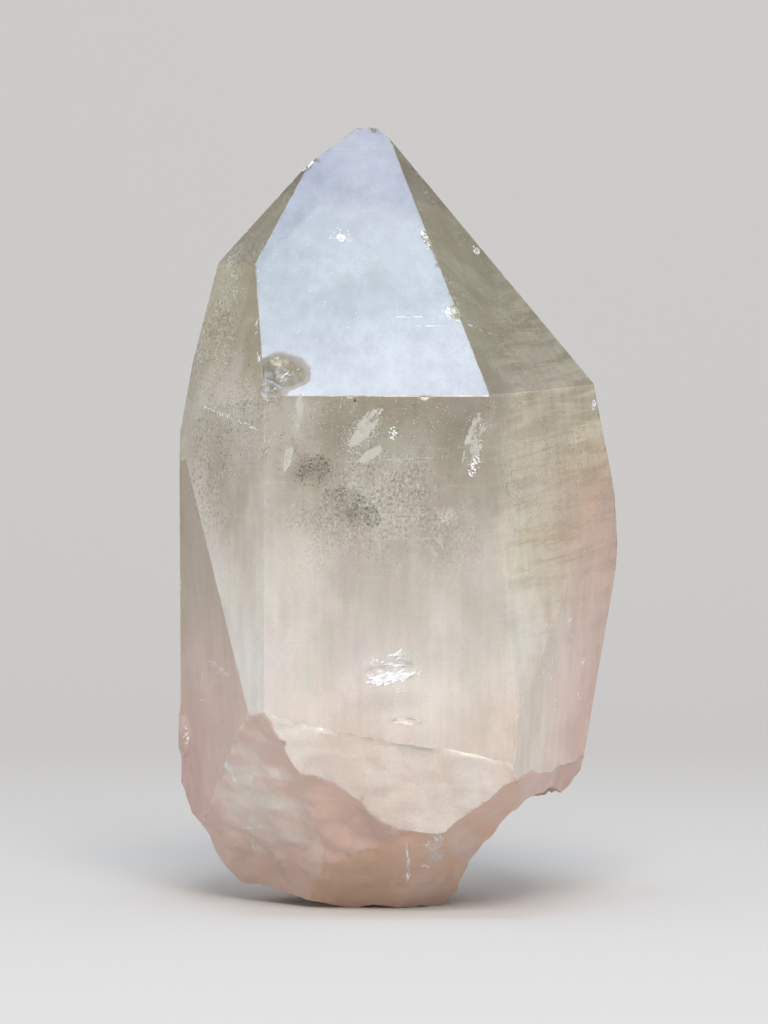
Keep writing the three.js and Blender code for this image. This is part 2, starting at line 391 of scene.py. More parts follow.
stone_solid.normal_update()
by_lip = [face for face in stone_solid.faces if near_lip(face.calc_center_median()) and face[kind] == BREAK]
beside = {near[kind] for face in by_lip for edge in face.edges for near in edge.link_faces}
beside = sorted(number for number in beside if number > BREAK)
for face in by_lip:
    number = max(beside, key=lambda number: planes[number - 1][0].dot(face.normal))
    look, reach = planes[number - 1]
    if look.dot(face.calc_center_median()) > reach:
        face[kind] = number
        for edge in face.edges:
            edge.smooth = True
kinds_at = {vert: {face[kind] for face in vert.link_faces} for vert in stone_solid.verts}
on_lip = [vert for vert in stone_solid.verts if near_lip(vert.co) and kinds_at[vert] <= {BREAK, *beside}]
on_scoops = [
    vert for vert in stone_solid.verts
    if vert.co.x > SCOOPS_LEFT and vert.co.z < SCOOPS_TOP and kinds_at[vert] == {BREAK}
]
smooth(stone_solid, on_lip, LIP_SMOOTHING)
smooth(stone_solid, on_scoops, SCAR_SMOOTHING)

# The front face of the point. It looks straight ahead, leans back as quartz's do, and is made truly flat, but
# for its dimple, because it mirrors the softbox.
FRONT_BEARING = 1
FRONT_LEANS = (38, 38.4)
FRONT_FACE_FOOT = 77.5

front_face = next(
    face for face in stone_solid.faces
    if face[kind] > BREAK and abs(compass(face.normal)[0]) < FRONT_BEARING
    and FRONT_LEANS[0] < compass(face.normal)[1] < FRONT_LEANS[1]
)
front_look, front_place = front_face.normal.copy(), front_face.verts[0].co.copy()
front_kind = front_face[kind]
for face in stone_solid.faces:
    middle = face.calc_center_median()
    if face[kind] == BREAK and middle.z > FRONT_FACE_FOOT and dimple_depth(middle) > 0:
        face[kind] = front_kind
for vert in stone_solid.verts:
    if {face[kind] for face in vert.link_faces} == {front_kind}:
        vert.co -= front_look * ((vert.co - front_place).dot(front_look) + dimple_depth(vert.co))

# Relief: shell-like waves on the break, whose rim wanders over the grown faces, hardly any on those faces,
# and small nicks along the edges. Corners that would fold a face over go part of the way back.
RIM_SEED = 5
RIM_WANDER = 0.9
RIM_FADES = (35, 25)
FOOT_FADES = (0, 5)
SCAR_WANDER = 0.27
BREAK_WAVES = 0.14
SCAR_WAVES = (0.12, 0.08)
FACE_WAVES = 0.012
NICK = 0.3
FRONT_NICK = 0.1
UNTANGLINGS = 4
MOST_TURNED = 0.1

noise.seed_set(RIM_SEED)
stone_solid.normal_update()
places = []
for vert in stone_solid.verts:
    kinds = {face[kind] for face in vert.link_faces}
    place = vert.co.copy()
    if kinds == {BREAK} and place.z > BREAK_TOP:
        waves = SCAR_WAVES[0] * noise.noise(place * 0.8) + SCAR_WAVES[1] * noise.noise(place * 2.2)
        place += vert.normal * waves
    elif kinds == {BREAK}:
        place += vert.normal * BREAK_WAVES * noise.fractal(place * 0.3, 0.9, 2.1, 4)
    elif LEDGE_WALL not in kinds and (WORN_EDGE in kinds or len(kinds) > 1):
        nick = max(0, noise.noise(place * 0.6) - 0.3) + max(0, noise.noise(place * 2.3) - 0.35)
        place -= vert.normal * (FRONT_NICK if front_kind in kinds else NICK) * nick
    else:
        place += vert.normal * FACE_WAVES * noise.noise(place * 0.16)
    far = RIM_WANDER * between(vert.co.z, *RIM_FADES) * between(vert.co.z, *FOOT_FADES)
    wander = noise.noise_vector(vert.co * 0.14) + 0.5 * noise.noise_vector(vert.co * 0.37)
    if BREAK in kinds and vert.co.z > BREAK_TOP:
        far = SCAR_WANDER
        wander = noise.noise_vector(vert.co * 0.9)
    for number in sorted(kinds):
        if number > BREAK:
            wander -= planes[number - 1][0] * wander.dot(planes[number - 1][0])
    wander = wander if wander.length < 1 else wander.normalized()
    places.append(place + wander * far)
unmoved = {vert: vert.co.copy() for vert in stone_solid.verts}
for vert, place in zip(stone_solid.verts, places):
    vert.co = place
for untangling in range(UNTANGLINGS):
    folded = {
        vert for face in stone_solid.faces for vert in face.verts
        if geometry.normal([corner.co for corner in face.verts]).dot(face.normal) < MOST_TURNED
    }
    for vert in folded:
        vert.co = vert.co.lerp(unmoved[vert], 0.5)

# How stained and shaded each corner of a face is, 0.5 on the undersides of the break and 1 at its foot: a
# pinker, darker colour, partly iron stain and partly painted shade on the faces that look down. And how bright
# its face
# is painted: a painted shade that makes each face lighter or darker as the light falls on it. On a break both
# are blended between the faces round a corner, and on a grown face they are even.
UNDERSIDE = (0.42, 0.54)
FOOT = (0.64, 0.76)
RIGHT_FOOT = (20, 75)
RIGHT_FOOT_SHARE = 0.7
LEFT_SIDE = -62
LEFT_IRON_AND_SHADE = 0.36
KNOB_SIDE = 55
KNOB_LEAN = -15
KNOB_IRON_AND_SHADE = 0.5
# The painted shade of each kind of face: how much lighter or darker its colour is made.
BREAK_SHADES = {"left": 1.14, "middle": 1.1, "right": 1.17}
POINT_SHADE = 0.75
LEFT_SHADE = 0.99
LEFT_SHADE_FALL = 0.15
LEFT_SHADE_HEIGHTS = (32, 48)
SIDE_SHADE = 1.17


def face_iron_and_shade(face):
    """How stained and shaded a face is, from 0 to 1: partly iron stain and partly painted shade, on the faces
    that look down, most at the foot, on the left side and under the knob.
    """
    bearing, lean = compass(face.normal)
    if bearing < LEFT_SIDE and -20 < lean < -1 and face[kind] != BREAK:
        return LEFT_IRON_AND_SHADE
    if bearing > KNOB_SIDE and lean < KNOB_LEAN:
        return KNOB_IRON_AND_SHADE
    share = RIGHT_FOOT_SHARE if RIGHT_FOOT[0] < bearing < RIGHT_FOOT[1] else 1.0
    return 0.5 * between(-face.normal.z, *UNDERSIDE) + 0.5 * between(-face.normal.z, *FOOT) * share


def painted_face_shade(face):
    """How bright a face's colour is painted, against 1 on the front: a painted shade, darker on the point's
    side faces and higher up the left side, and lighter on the break and on the sides.
    """
    bearing, lean = compass(face.normal)
    if face[kind] == BREAK:
        on_right = RIGHT_FOOT[0] < bearing < RIGHT_FOOT[1]
        return BREAK_SHADES["right" if on_right else "left" if bearing < -RIGHT_FOOT[0] else "middle"]
    if lean > 25 and abs(bearing) > 30:
        return POINT_SHADE
    if bearing < LEFT_SIDE and lean < -1:
        return LEFT_SHADE - LEFT_SHADE_FALL * between(face.calc_center_median().z, *LEFT_SHADE_HEIGHTS)
    return SIDE_SHADE if abs(bearing) > 40 else 1.0


def worn_pale_highlight(vert):
    """How pale a worn edge is at one corner: broken up, and brightest round the front face of the point. It is
    partly pale wear and partly a painted highlight.
    """
    broken = between(noise.noise(vert.co * 0.5) + 0.5 * noise.noise(vert.co * 1.7), -0.1, 0.4)
    if any(face[kind] == front_kind for face in vert.link_faces):
        return broken
    on_shoulder = vert.co.x > 13.5 and 72 < vert.co.z < 86
    return broken * (0.1 if on_shoulder else 0.45)


def mirrors(vert, face):
    """How evenly a corner shines: 1 on the front face of the point, and 0 elsewhere and deep in its dimple. It
    is also the mask of the painted reflection, a paler colour, on that face.
    """
    return (1 - between(dimple_depth(vert.co), 0.03, 0.3)) * (face[kind] == front_kind)


# Each corner's layers: its stain and painted shade, the painted shade of its face, its pale wear and painted
# highlight on the worn edges and ledge walls, the mask of the painted reflection, and how rough it is.
painted = {}
for name in ("iron_and_shade", "painted_shade", "wear_and_highlight", "mirror", "rough"):
    painted[name] = stone_solid.loops.layers.float.new(name)
for vert in stone_solid.verts:
    for loop in vert.link_loops:
        alike = [face for face in vert.link_faces if face[kind] == loop.face[kind]]
        loop[painted["iron_and_shade"]] = sum(face_iron_and_shade(face) for face in alike) / len(alike)
        loop[painted["painted_shade"]] = sum(painted_face_shade(face) for face in alike) / len(alike)
        loop[painted["wear_and_highlight"]] = float(loop.face[kind] < BREAK) * worn_pale_highlight(vert)
        shine = mirrors(vert, loop.face)
        loop[painted["mirror"]] = shine
        in_dimple = (1 - shine) * (loop.face[kind] == front_kind)
        loop[painted["rough"]] = max(float(loop.face[kind] == BREAK), 0.6 * in_dimple)

# Pale hazes and dim places just inside the front: their middle, reach, turn and strength, in the camera's
# picture. The pale patch over the bright bruise low on the front is partly the bruise's own paleness and
# partly a painted glint.
IMAGE_MIDDLE = (384, 512)
PATCH_EDGE = 0.7
camera_mm = Vector(CAMERA_AT) / MM
PALE = [
    ((364, 432), (14, 27), -38, 0.8), ((374, 456), (8, 16), -58, 0.8), ((297, 418), (6, 24), -8, 0.8),
    ((286, 460), (6, 16), -14, 0.8), ((447, 516), (11, 13), 0, 0.8), ((478, 440), (14, 34), -18, 0.6),
    ((330, 408), (36, 12), 0, 0.3), ((236, 300), (15, 42), 10, 0.5), ((213, 385), (24, 54), 0, 0.5),
    ((238, 405), (26, 22), 0, 0.5), ((452, 570), (9, 44), -12, 0.4), ((272, 605), (10, 62), 22, 0.6),
    ((292, 640), (12, 56), 44, 0.4), ((545, 470), (18, 62), 0, 0.4), ((392, 664), (34, 19), 10, 1.0),
    ((560, 640), (14, 60), 0, 0.3), ((341, 237), (12, 9), 0, 1.0), ((434, 850), (14, 16), 0, 0.6),
    ((425, 884), (36, 16), 0, 0.45), ((465, 845), (18, 34), 30, 0.6), ((505, 742), (34, 22), 10, 0.5),
    ((208, 684), (20, 10), 20, 0.4), ((300, 560), (30, 40), 0, 0.3), ((466, 748), (30, 32), 0, 0.35),
    ((512, 440), (26, 60), 0, 0.3),
]
DIM = [
    ((314, 470), (22, 17), 0, 0.5), ((352, 508), (32, 18), -24, 0.5), ((440, 430), (52, 40), 0, 0.2),
    ((328, 432), (18, 26), 0, 0.25), ((496, 280), (11, 60), 38, 0.6), ((548, 335), (8, 40), 42, 0.5),
    ((587, 424), (8, 40), 10, 0.5), ((545, 560), (34, 7), 20, 0.4), ((530, 600), (6, 44), 8, 0.25),
    ((386, 702), (46, 12), 6, 0.2), ((345, 590), (8, 28), 0, 0.2), ((610, 700), (6, 30), 0, 0.3),
    ((280, 372), (24, 19), 0, 0.6), ((268, 388), (14, 12), 0, 0.5), ((552, 640), (7, 50), 6, 0.25),
    ((400, 722), (24, 2), 0, 0.15),
]


def add_painting(solid, name, patches):
    """Gives each corner of the solid that the camera sees the strength of the patches that cover it."""
    layer = solid.verts.layers.float.new(name)
    away = np.array([vert.co for vert in solid.verts]) - np.array(camera_mm)
    facing = np.array([vert.normal for vert in solid.verts])
    x = IMAGE_MIDDLE[0] + FOCAL_PIXELS * away[:, 0] / away[:, 1]
    y = IMAGE_MIDDLE[1] - FOCAL_PIXELS * away[:, 2] / away[:, 1]
    strength = np.zeros(len(away))
    for middle, reach, along, amount in patches:
        cosine, sine = math.cos(math.radians(along)), math.sin(math.radians(along))
        right = ((x - middle[0]) * cosine - (y - middle[1]) * sine) / reach[0]
        down = ((x - middle[0]) * sine + (y - middle[1]) * cosine) / reach[1]
        strength = np.maximum(strength, amount * np.clip(1 - right ** 2 - down ** 2, 0, 1) ** PATCH_EDGE)
    strength[(away * facing).sum(axis=1) > 0] = 0
    for vert, value in zip(solid.verts, strength):
        vert[layer] = value


add_painting(stone_solid, "pale", PALE)
add_painting(stone_solid, "dim", DIM)

# Rock crystal, grown from hot water: glassy where it is clear, waxy where tiny drops make it milky, and satiny
# on the break. Each pattern has its features per millimetre along X, Y and Z, detail, roughness and swirl.
PATTERNS = {
    "clouds": ((0.07, 0.07, 0.05), 5, 0.6, 0),
    "bands": ((0.05, 0.05, 0.45), 4, 0.65, 0.4),
    "fine_bands": ((0.09, 0.09, 2.0), 3, 0.7, 0.3),
    "hues": ((0.09, 0.09, 0.06), 2, 0.6, 0),
    "level_lines": ((0.04, 0.04, 0.9), 3, 0.5, 0),
    "line_field": ((0.12, 0.12, 0.3), 2, 0.6, 0),
    "fans": ((0.12, 0.2, 0.32), 4, 0.55, 0.5),
    "streaks": ((0.55, 0.55, 0.05), 3, 0.6, 0),
    "specks": ((2.3, 2.3, 1.9), 3, 0.7, 0),
    "fine_specks": ((4.2, 4.2, 4.2), 2, 0.7, 0),
    "speck_field": ((0.1, 0.1, 0.07), 4, 0.6, 0),
    "growth_lines": ((0.05, 0.05, 1.9), 4, 0.7, 0),
}
BAND_TILT = math.radians(14)
LINE_LEVEL = 0.5
CRACK_LEVEL = 0.52

quartz, tree, quartz_out = new_material("rock_crystal")
place = add_node(tree, "ShaderNodeTexCoord").outputs["Object"]
in_mm = add_node(tree, "ShaderNodeVectorMath", {0: place, "Scale": 1 / MM}, operation="SCALE")
tilted = add_node(tree, "ShaderNodeMapping", {"Vector": in_mm, "Rotation": (0, BAND_TILT, 0)})
heights = add_node(tree, "ShaderNodeSeparateXYZ", {0: in_mm})
fields = {axis: heights.outputs[axis] for axis in "XYZ"}
for name, (stretch, detail, roughness, swirl) in PATTERNS.items():
    along = tilted if "bands" in name else in_mm
    scaled = add_node(tree, "ShaderNodeMapping", {"Vector": along, "Scale": stretch})
    fields[name] = add_node(tree, "ShaderNodeTexNoise", {
        "Vector": scaled, "Scale": 1, "Detail": detail, "Roughness": roughness, "Distortion": swirl,
    })
for name in (*painted, "pale", "dim"):
    fields[name] = add_node(tree, "ShaderNodeAttribute", attribute_name=name).outputs["Fac"]
for name, pattern, level in (("off_line", "level_lines", LINE_LEVEL), ("off_crack", "fans", CRACK_LEVEL)):
    above = add_node(tree, "ShaderNodeMath", {0: fields[pattern], 1: level}, operation="SUBTRACT")
    fields[name] = add_node(tree, "ShaderNodeMath", {0: above}, operation="ABSOLUTE")


def product(tree, fields, *factors):
    """The product of its factors: a number, node or field, or a field with its low and high value and, where
    they aren't 0 and 1, what it is smoothly carried to there."""
    total = None
    for factor in factors:
        if isinstance(factor, tuple):
            name, low, high, *ends = factor
            factor = add_node(tree, "ShaderNodeMapRange", {
                "Value": fields[name], "From Min": low, "From Max": high,
                "To Min": ends[0] if ends else 0, "To Max": ends[1] if ends else 1,
            }, interpolation_type="SMOOTHSTEP")
        elif isinstance(factor, str):
            factor = fields[factor]
        if total is None:
            total = factor
        else:
            total = add_node(tree, "ShaderNodeMath", {0: total, 1: factor}, operation="MULTIPLY")
    return total


def layered(tree, fields, colour, layers):
    """A colour under layers, each a colour and the factors of how far it covers what is under it."""
    for over, *factors in layers:
        colour = add_node(tree, "ShaderNodeMix", {
            "Factor": product(tree, fields, *factors),
            "A": colour,
            "B": linear(over) if isinstance(over, str) else over,
        }, data_type="RGBA")
    return colour


fields["right_most"] = product(tree, fields, ("X", 12, 19), ("Z", 34, 56, 0.15, 1))
fields["speck_mask"] = product(
    tree, fields, ("speck_field", 0.44, 0.6), ("Z", 46, 68), ("mirror", 0, 1, 1, 0.15),
)
# Where the faces that look down are pinker and darker, partly iron stain and partly painted shade, less so in
# the pale hazes.
fields["iron_tinted_and_shaded"] = product(tree, fields, "iron_and_shade", ("pale", 0, 1, 1, 0.3))
# The painted reflection on the front face of the point: a pale grey-white colour, whiter low down.
painted_reflection = layered(tree, fields, linear("c3c4c4"), [("e6e5ea", ("Z", 96, 78))])
# The colour of that stain and painted shade, more tan higher up.
iron_and_shade_colour = layered(tree, fields, linear("e3bdae"), [("c9b195", ("Z", 34, 50))])
colour = layered(tree, fields, linear("bfb8a7"), [
    ("eae4dd", ("Z", 80, 30)),
    ("ecd9ce", ("Z", 42, 24, 0, 0.8)),
    ("efece8", ("clouds", 0.38, 0.66, 0, 0.4)),
    ("edeae0", "pale", ("specks", 0.36, 0.56, 0.6, 1), 0.85),
    ("808268", "dim", ("specks", 0.38, 0.6, 0.5, 1)),
    ("b0a983", ("Z", 76, 84, 0, 0.72), ("mirror", 0, 1, 1, 0), ("X", -26, -8, 0.62, 1)),
    ("e2d5b7", ("Z", 84, 72), ("Z", 40, 60), ("X", 14, 20), 0.6),
    ("f6ebd6", ("bands", 0.42, 0.6), "right_most", 0.6),
    ("aa9d7e", ("bands", 0.5, 0.38), "right_most", 0.24),
    ("faf3e2", ("fine_bands", 0.56, 0.66), "right_most", 0.4),
    ("dfe8d8", ("hues", 0.56, 0.68, 0, 0.22)),
    ("ecdfe6", ("hues", 0.44, 0.34, 0, 0.22)),
    ("f6f0dc", ("off_line", 0.014, 0), ("line_field", 0.5, 0.62), ("Z", 40, 56), 0.4),
    # The front face of the point is painted paler: its painted reflection covers three quarters of its colour.
    (painted_reflection, "mirror", 0.75),
])
# Each face's painted shade, with fine grain all over and faint fans on the break and in the dimple, makes its
# colour lighter or darker.
fanned = product(tree, fields, ("fans", 0.36, 0.64, -0.045, 0.045), "rough")
fanned = add_node(tree, "ShaderNodeMath", {0: fanned, 1: 1.0}, operation="ADD")
painted_shade = product(tree, fields, "painted_shade", ("fine_specks", 0.3, 0.7, 0.93, 1.07), fanned)
colour = add_node(tree, "ShaderNodeVectorMath", {0: colour, "Scale": painted_shade}, operation="SCALE")
colour = layered(tree, fields, colour, [
    # The stain and painted shade of the faces that look down, more orange at the foot.
    (iron_and_shade_colour, ("iron_tinted_and_shaded", 0, 0.5, 0, 0.75)),
    ("e8c19f", ("iron_tinted_and_shaded", 0.5, 1, 0, 0.6)),
    ("dda296", ("X", -24, -34), ("Z", 40, 20), 0.5),
    ("dda296", ("X", 18, 32), ("Z", 76, 60), 0.5),
    ("f0c8b8", ("X", 12, 20), ("Z", 44, 30), 0.2),
    ("f6ebe2", ("off_crack", 0.012, 0), "rough", 0.3),
    # A paler mauve painted reflection at the top of the front face of the point.
    ("c9b9c0", ("Z", 96, 114), "mirror", 0.6),
    ("736e58", ("specks", 0.46, 0.38), "speck_mask", 0.6),
    ("fbf9f2", ("specks", 0.54, 0.62), "speck_mask", ("X", 8, 16, 1, 0.35), 0.8),
    # Pale wear along the worn edges, partly a painted highlight, and painted light on the ledge walls.
    ("fbf8f2", "wear_and_highlight", 0.6),
])
clear = product(tree, fields, ("Z", 80, 30, 0.58, 0.3))
for cloudy in (("clouds", 0.3, 0.7, 0.1, -0.1), ("streaks", 0.3, 0.7, 0.03, -0.03)):
    clear = add_node(tree, "ShaderNodeMath", {
        0: clear, 1: product(tree, fields, cloudy),
    }, operation="ADD", use_clamp=True)

bump = add_node(tree, "ShaderNodeBump", {
    "Strength": 0.35,
    "Distance": 0.00006,
    "Height": fields["growth_lines"],
})
quartz_shader = add_node(tree, "ShaderNodeBsdfPrincipled", {
    "Base Color": colour,
    "Roughness": product(tree, fields, ("rough", 0, 1, 0.07, 0.32)),
    "IOR": 1.544,
    "Transmission Weight": clear,
    "Subsurface Weight": 1.0,
    "Subsurface Radius": (1.0, 0.85, 0.65),
    "Subsurface Scale": 0.0004,
    "Normal": bump,
}, subsurface_method="RANDOM_WALK")
absorbed = add_node(tree, "ShaderNodeVolumeAbsorption", {
    "Color": linear("e3dac8"),
    "Density": 12.0,
})
tree.links.new(quartz_shader.outputs[0], quartz_out.inputs["Surface"])
tree.links.new(absorbed.outputs[0], quartz_out.inputs["Volume"])

stone_mesh = bpy.data.meshes.new("crystal")
bmesh.ops.triangulate(stone_solid, faces=[f for f in stone_solid.faces if len(f.verts) > 4])
surface = BVHTree.FromBMesh(stone_solid)
bmesh.ops.scale(stone_solid, vec=(MM, MM, MM), verts=stone_solid.verts)
stone_solid.to_mesh(stone_mesh)
stone_solid.free()
stone_mesh.materials.append(quartz)
crystal = bpy.data.objects.new("crystal", stone_mesh)
bpy.context.scene.collection.objects.link(crystal)
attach(crystal, "root")
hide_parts("quartz_crystal")

# What the crystal holds: healed cracks full of tiny drops, milky wisps and green-black grains of chlorite, all
# shut in as the stone grew, and crushed white bruises with painted glints. Each is a cloud of small flakes or
# grains.
SEED = 11
random = np.random.default_rng(SEED)

scatter = bpy.data.node_groups.new("scattered_grains", "GeometryNodeTree")
scatter.interface.new_socket(name="Geometry", in_out="INPUT", socket_type="NodeSocketGeometry")
for socket_name, socket_kind in (("Sides", "NodeSocketInt"), ("Material", "NodeSocketMaterial")):
    scatter.interface.new_socket(name=socket_name, in_out="INPUT", socket_type=socket_kind)
scatter.interface.new_socket(name="Geometry", in_out="OUTPUT", socket_type="NodeSocketGeometry")
given = add_node(scatter, "NodeGroupInput").outputs
grain = add_node(scatter, "GeometryNodeMeshCylinder", {
    "Vertices": given["Sides"], "Radius": 1.0, "Depth": 2.0,
})
turn, size = [
    add_node(scatter, "GeometryNodeInputNamedAttribute", {"Name": name}, data_type="FLOAT_VECTOR").outputs[0]
    for name in ("turn", "size")
]
placed = add_node(scatter, "GeometryNodeInstanceOnPoints", {
    "Points": given["Geometry"], "Instance": grain.outputs[0], "Rotation": turn, "Scale": size,
})
real = add_node(scatter, "GeometryNodeRealizeInstances", {0: placed})
coloured = add_node(scatter, "GeometryNodeSetMaterial", {"Geometry": real, "Material": given["Material"]})
add_node(scatter, "NodeGroupOutput", {0: coloured})


def scattered(name, spots, sides, material):
    """A piece of many flakes or grains, one at each spot: a place, a turn and a half-size, in millimetres."""
    piece = new_piece(name, [MM * place for place, turn, size in spots], [], material)
    turns = piece.data.attributes.new("turn", "FLOAT_VECTOR", "POINT")
    turns.data.foreach_set("vector", [angle for place, turn, size in spots for angle in turn])
    sizes = piece.data.attributes.new("size", "FLOAT_VECTOR", "POINT")
    sizes.data.foreach_set("vector", [MM * half for place, turn, size in spots for half in size])
    modifier = piece.modifiers.new("grains", "NODES")
    modifier.node_group = scatter
    values = {"Sides": sides, "Material": material}
    for item in scatter.interface.items_tree:
        if item.in_out == "INPUT" and item.name in values:
            modifier[item.identifier] = values[item.name]
    bpy.context.view_layer.update()
    graph = bpy.context.evaluated_depsgraph_get()
    made = bpy.data.meshes.new_from_object(piece.evaluated_get(graph))
    piece.modifiers.clear()
    piece.data = made
    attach(piece, "root")


def seen_at(x, y, bearing=0):
    """The stone's surface, and where it faces, at a pixel of a picture taken from a bearing."""
    around = Matrix.Rotation(math.radians(bearing), 3, "Z")
    ray = Vector((x - IMAGE_MIDDLE[0], FOCAL_PIXELS, IMAGE_MIDDLE[1] - y)).normalized()
    hit, normal, number, distance = surface.ray_cast(around @ camera_mm, around @ ray)
    return hit, normal


MOTTLES = 0.8
DARK_SHARE = 0.85
TRIES = 12
STRAYS = 0.05
HALF_THICK = 0.02
DEPTHS = (-0.02, 0.015)


def patch(middle, reach, along, count, half, gaps=0.0, slim=(0.5, 1), spin=(0, 360), loose=0.12, bearing=0):
    """Spots in an uneven patch of a picture taken from a bearing, in its pixels, flush with the surface."""
    spots = []
    cosine, sine = math.cos(math.radians(along)), math.sin(math.radians(along))
    for attempt in range(count * TRIES):
        if len(spots) == count:
            break
        radius = math.sqrt(random.random())
        angle = random.uniform(0, math.tau)
        right = radius * math.cos(angle) * reach[0]
        down = radius * math.sin(angle) * reach[1]
        x = middle[0] + right * cosine + down * sine
        y = middle[1] - right * sine + down * cosine
        crowd = noise.noise(Vector((x * 0.11, y * 0.08, middle[0])))
        crowd += 0.5 * noise.noise(Vector((x, y, 0)) * 0.31)
        if crowd < gaps and random.random() > STRAYS:
            continue
        hit, normal = seen_at(x, y, bearing)
        if hit is None or (bearing and normal.dot(camera_mm - hit) > 0):
            continue
        level = Vector((-normal.y, normal.x, 0)).normalized()
        flush = Matrix((level, normal.cross(level), normal)).transposed()
        spinning = Matrix.Rotation(math.radians(random.uniform(*spin)), 3, "Z")
        tipping = Matrix.Rotation(random.normal() * loose, 3, "X")
        rolling = Matrix.Rotation(random.normal() * loose, 3, "Y")
        wide = random.uniform(*half)
        size = (wide, wide * random.uniform(*slim), HALF_THICK)
        place = hit - normal * random.uniform(*DEPTHS)
        spots.append((place, (flush @ spinning @ tipping @ rolling).to_euler(), size))
    return spots


def grain_mineral(name, hex_colour, roughness, alpha=1.0):
    """A grain's material, mottled darker over about a millimetre, whose alpha is how much it hides."""
    material, tree, out = new_material(name)
    place = add_node(tree, "ShaderNodeTexCoord").outputs["Object"]
    mottle = add_node(tree, "ShaderNodeTexNoise", {
        "Vector": place, "Scale": MOTTLES / MM, "Detail": 2, "Roughness": 0.6,
    })
    dark = tuple(DARK_SHARE * c for c in linear(hex_colour)[:3]) + (1.0,)
    shader = add_node(tree, "ShaderNodeBsdfPrincipled", {
        "Base Color": layered(tree, {"mottle": mottle}, dark, [(hex_colour, ("mottle", 0.3, 0.7))]),
        "Roughness": roughness,
        "Alpha": alpha,
    })
    tree.links.new(shader.outputs[0], out.inputs["Surface"])
    return material


milky = grain_mineral("milky_inclusion", "d6d1c4", 0.5)
veiled = grain_mineral("milky_veil", "e6e3d8", 0.5, alpha=0.5)
chlorite = grain_mineral("chlorite", "3c402c", 0.7)
# Pure white flakes, partly crushed quartz and partly painted glints.
bright = grain_mineral("white_crush_and_glints", "ffffff", 0.2)

# Milky wisps. Each patch: its middle and reach in the picture, its turn, how many flakes, their half-widths
# in millimetres, how broken up it is, and then how slim the flakes are, their spin and how loose they lie.
WISPS = [
    ((364, 432), (12, 26), -38, 110, (0.05, 0.16), -0.1),
    ((448, 516), (9, 9), 0, 50, (0.05, 0.14), 0.0),
    ((478, 440), (9, 24), -18, 99, (0.05, 0.16), 0.05),
    ((236, 282), (8, 26), 14, 165, (0.05, 0.16), 0.05),
    ((226, 330), (12, 40), 6, 385, (0.05, 0.15), 0.05),
    ((216, 380), (20, 46), 8, 825, (0.05, 0.14), 0.0),
    ((238, 400), (24, 26), 0, 605, (0.05, 0.14), 0.0),
    ((222, 436), (34, 26), 0, 660, (0.04, 0.12), 0.0),
    ((228, 474), (12, 7), 0, 88, (0.05, 0.14), 0.0),
    ((380, 430), (112, 34), 0, 700, (0.05, 0.17), 0.1, (0.12, 0.4), (20, 150)),
    ((360, 570), (110, 90), 0, 385, (0.05, 0.16), 0.18, (0.15, 0.4), (70, 110)),
    ((545, 470), (40, 60), 10, 385, (0.04, 0.12), 0.1),
    ((330, 300), (70, 90), 0, 70, (0.04, 0.14), 0.15, (0.12, 0.3), (60, 120)),
]
wisps = [spot for wisp in WISPS for spot in patch(*wisp)]
scattered("milky_wisps", wisps, 4, milky)

# Milky bars and veils, thin enough to see through.
VEILS = [
    ((299, 413), (3.2, 16), -7, 60, (0.3, 0.8), -0.6, (0.2, 0.4), (74, 92), 0.01),
    ((288, 458), (3.2, 11), -14, 44, (0.3, 0.7), -0.6, (0.25, 0.45), (64, 86), 0.01),
    ((366, 426), (7, 24), -40, 90, (0.3, 0.9), -0.3, (0.15, 0.4), (36, 64), 0.01),
    ((371, 455), (4, 11), -58, 50, (0.3, 0.8), -0.6, (0.25, 0.45), (22, 44), 0.01),
    ((447, 516), (7, 9), 0, 16, (0.15, 0.5), 0.0, (0.2, 0.5), (60, 110), 0.01),
    ((474, 440), (8, 30), -16, 56, (0.2, 0.7), 0.0, (0.2, 0.5), (40, 90), 0.01),
    ((436, 545), (6, 12), 0, 16, (0.15, 0.5), 0.0, (0.2, 0.5), (60, 110), 0.01),
    ((405, 459), (36, 0.7), 3, 28, (0.3, 1.4), -0.1, (0.03, 0.06), (-3, 3), 0.02),
    ((400, 514), (34, 0.6), 0, 24, (0.3, 1.4), -0.1, (0.03, 0.06), (-3, 3), 0.02),
    ((410, 539), (30, 0.6), 0, 16, (0.3, 1.4), -0.1, (0.03, 0.06), (-3, 3), 0.02),
]
veils = [spot for veil in VEILS for spot in patch(*veil)]
scattered("milky_veils", veils, 12, veiled)

# Dark dust of chlorite, on old faces that the stone grew over.
DUST = [
    ((314, 470), (20, 15), 20, 341, (0.03, 0.1), 0.0),
    ((352, 508), (32, 16), -30, 495, (0.03, 0.09), 0.0),
    ((380, 450), (110, 50), 0, 825, (0.03, 0.09), 0.05),
    ((220, 390), (36, 90), 0, 880, (0.03, 0.09), 0.0),
    ((330, 300), (70, 90), 0, 110, (0.03, 0.07), 0.15),
    ((510, 330), (60, 90), -30, 220, (0.03, 0.08), 0.12),
    ((560, 500), (50, 90), 0, 220, (0.03, 0.08), 0.12),
    ((355, 401), (1.0, 1.0), 0, 6, (0.12, 0.18), -1.0),
]
dust = [spot for cloud in DUST for spot in patch(*cloud)]
scattered("chlorite_dust", dust, 4, chlorite)
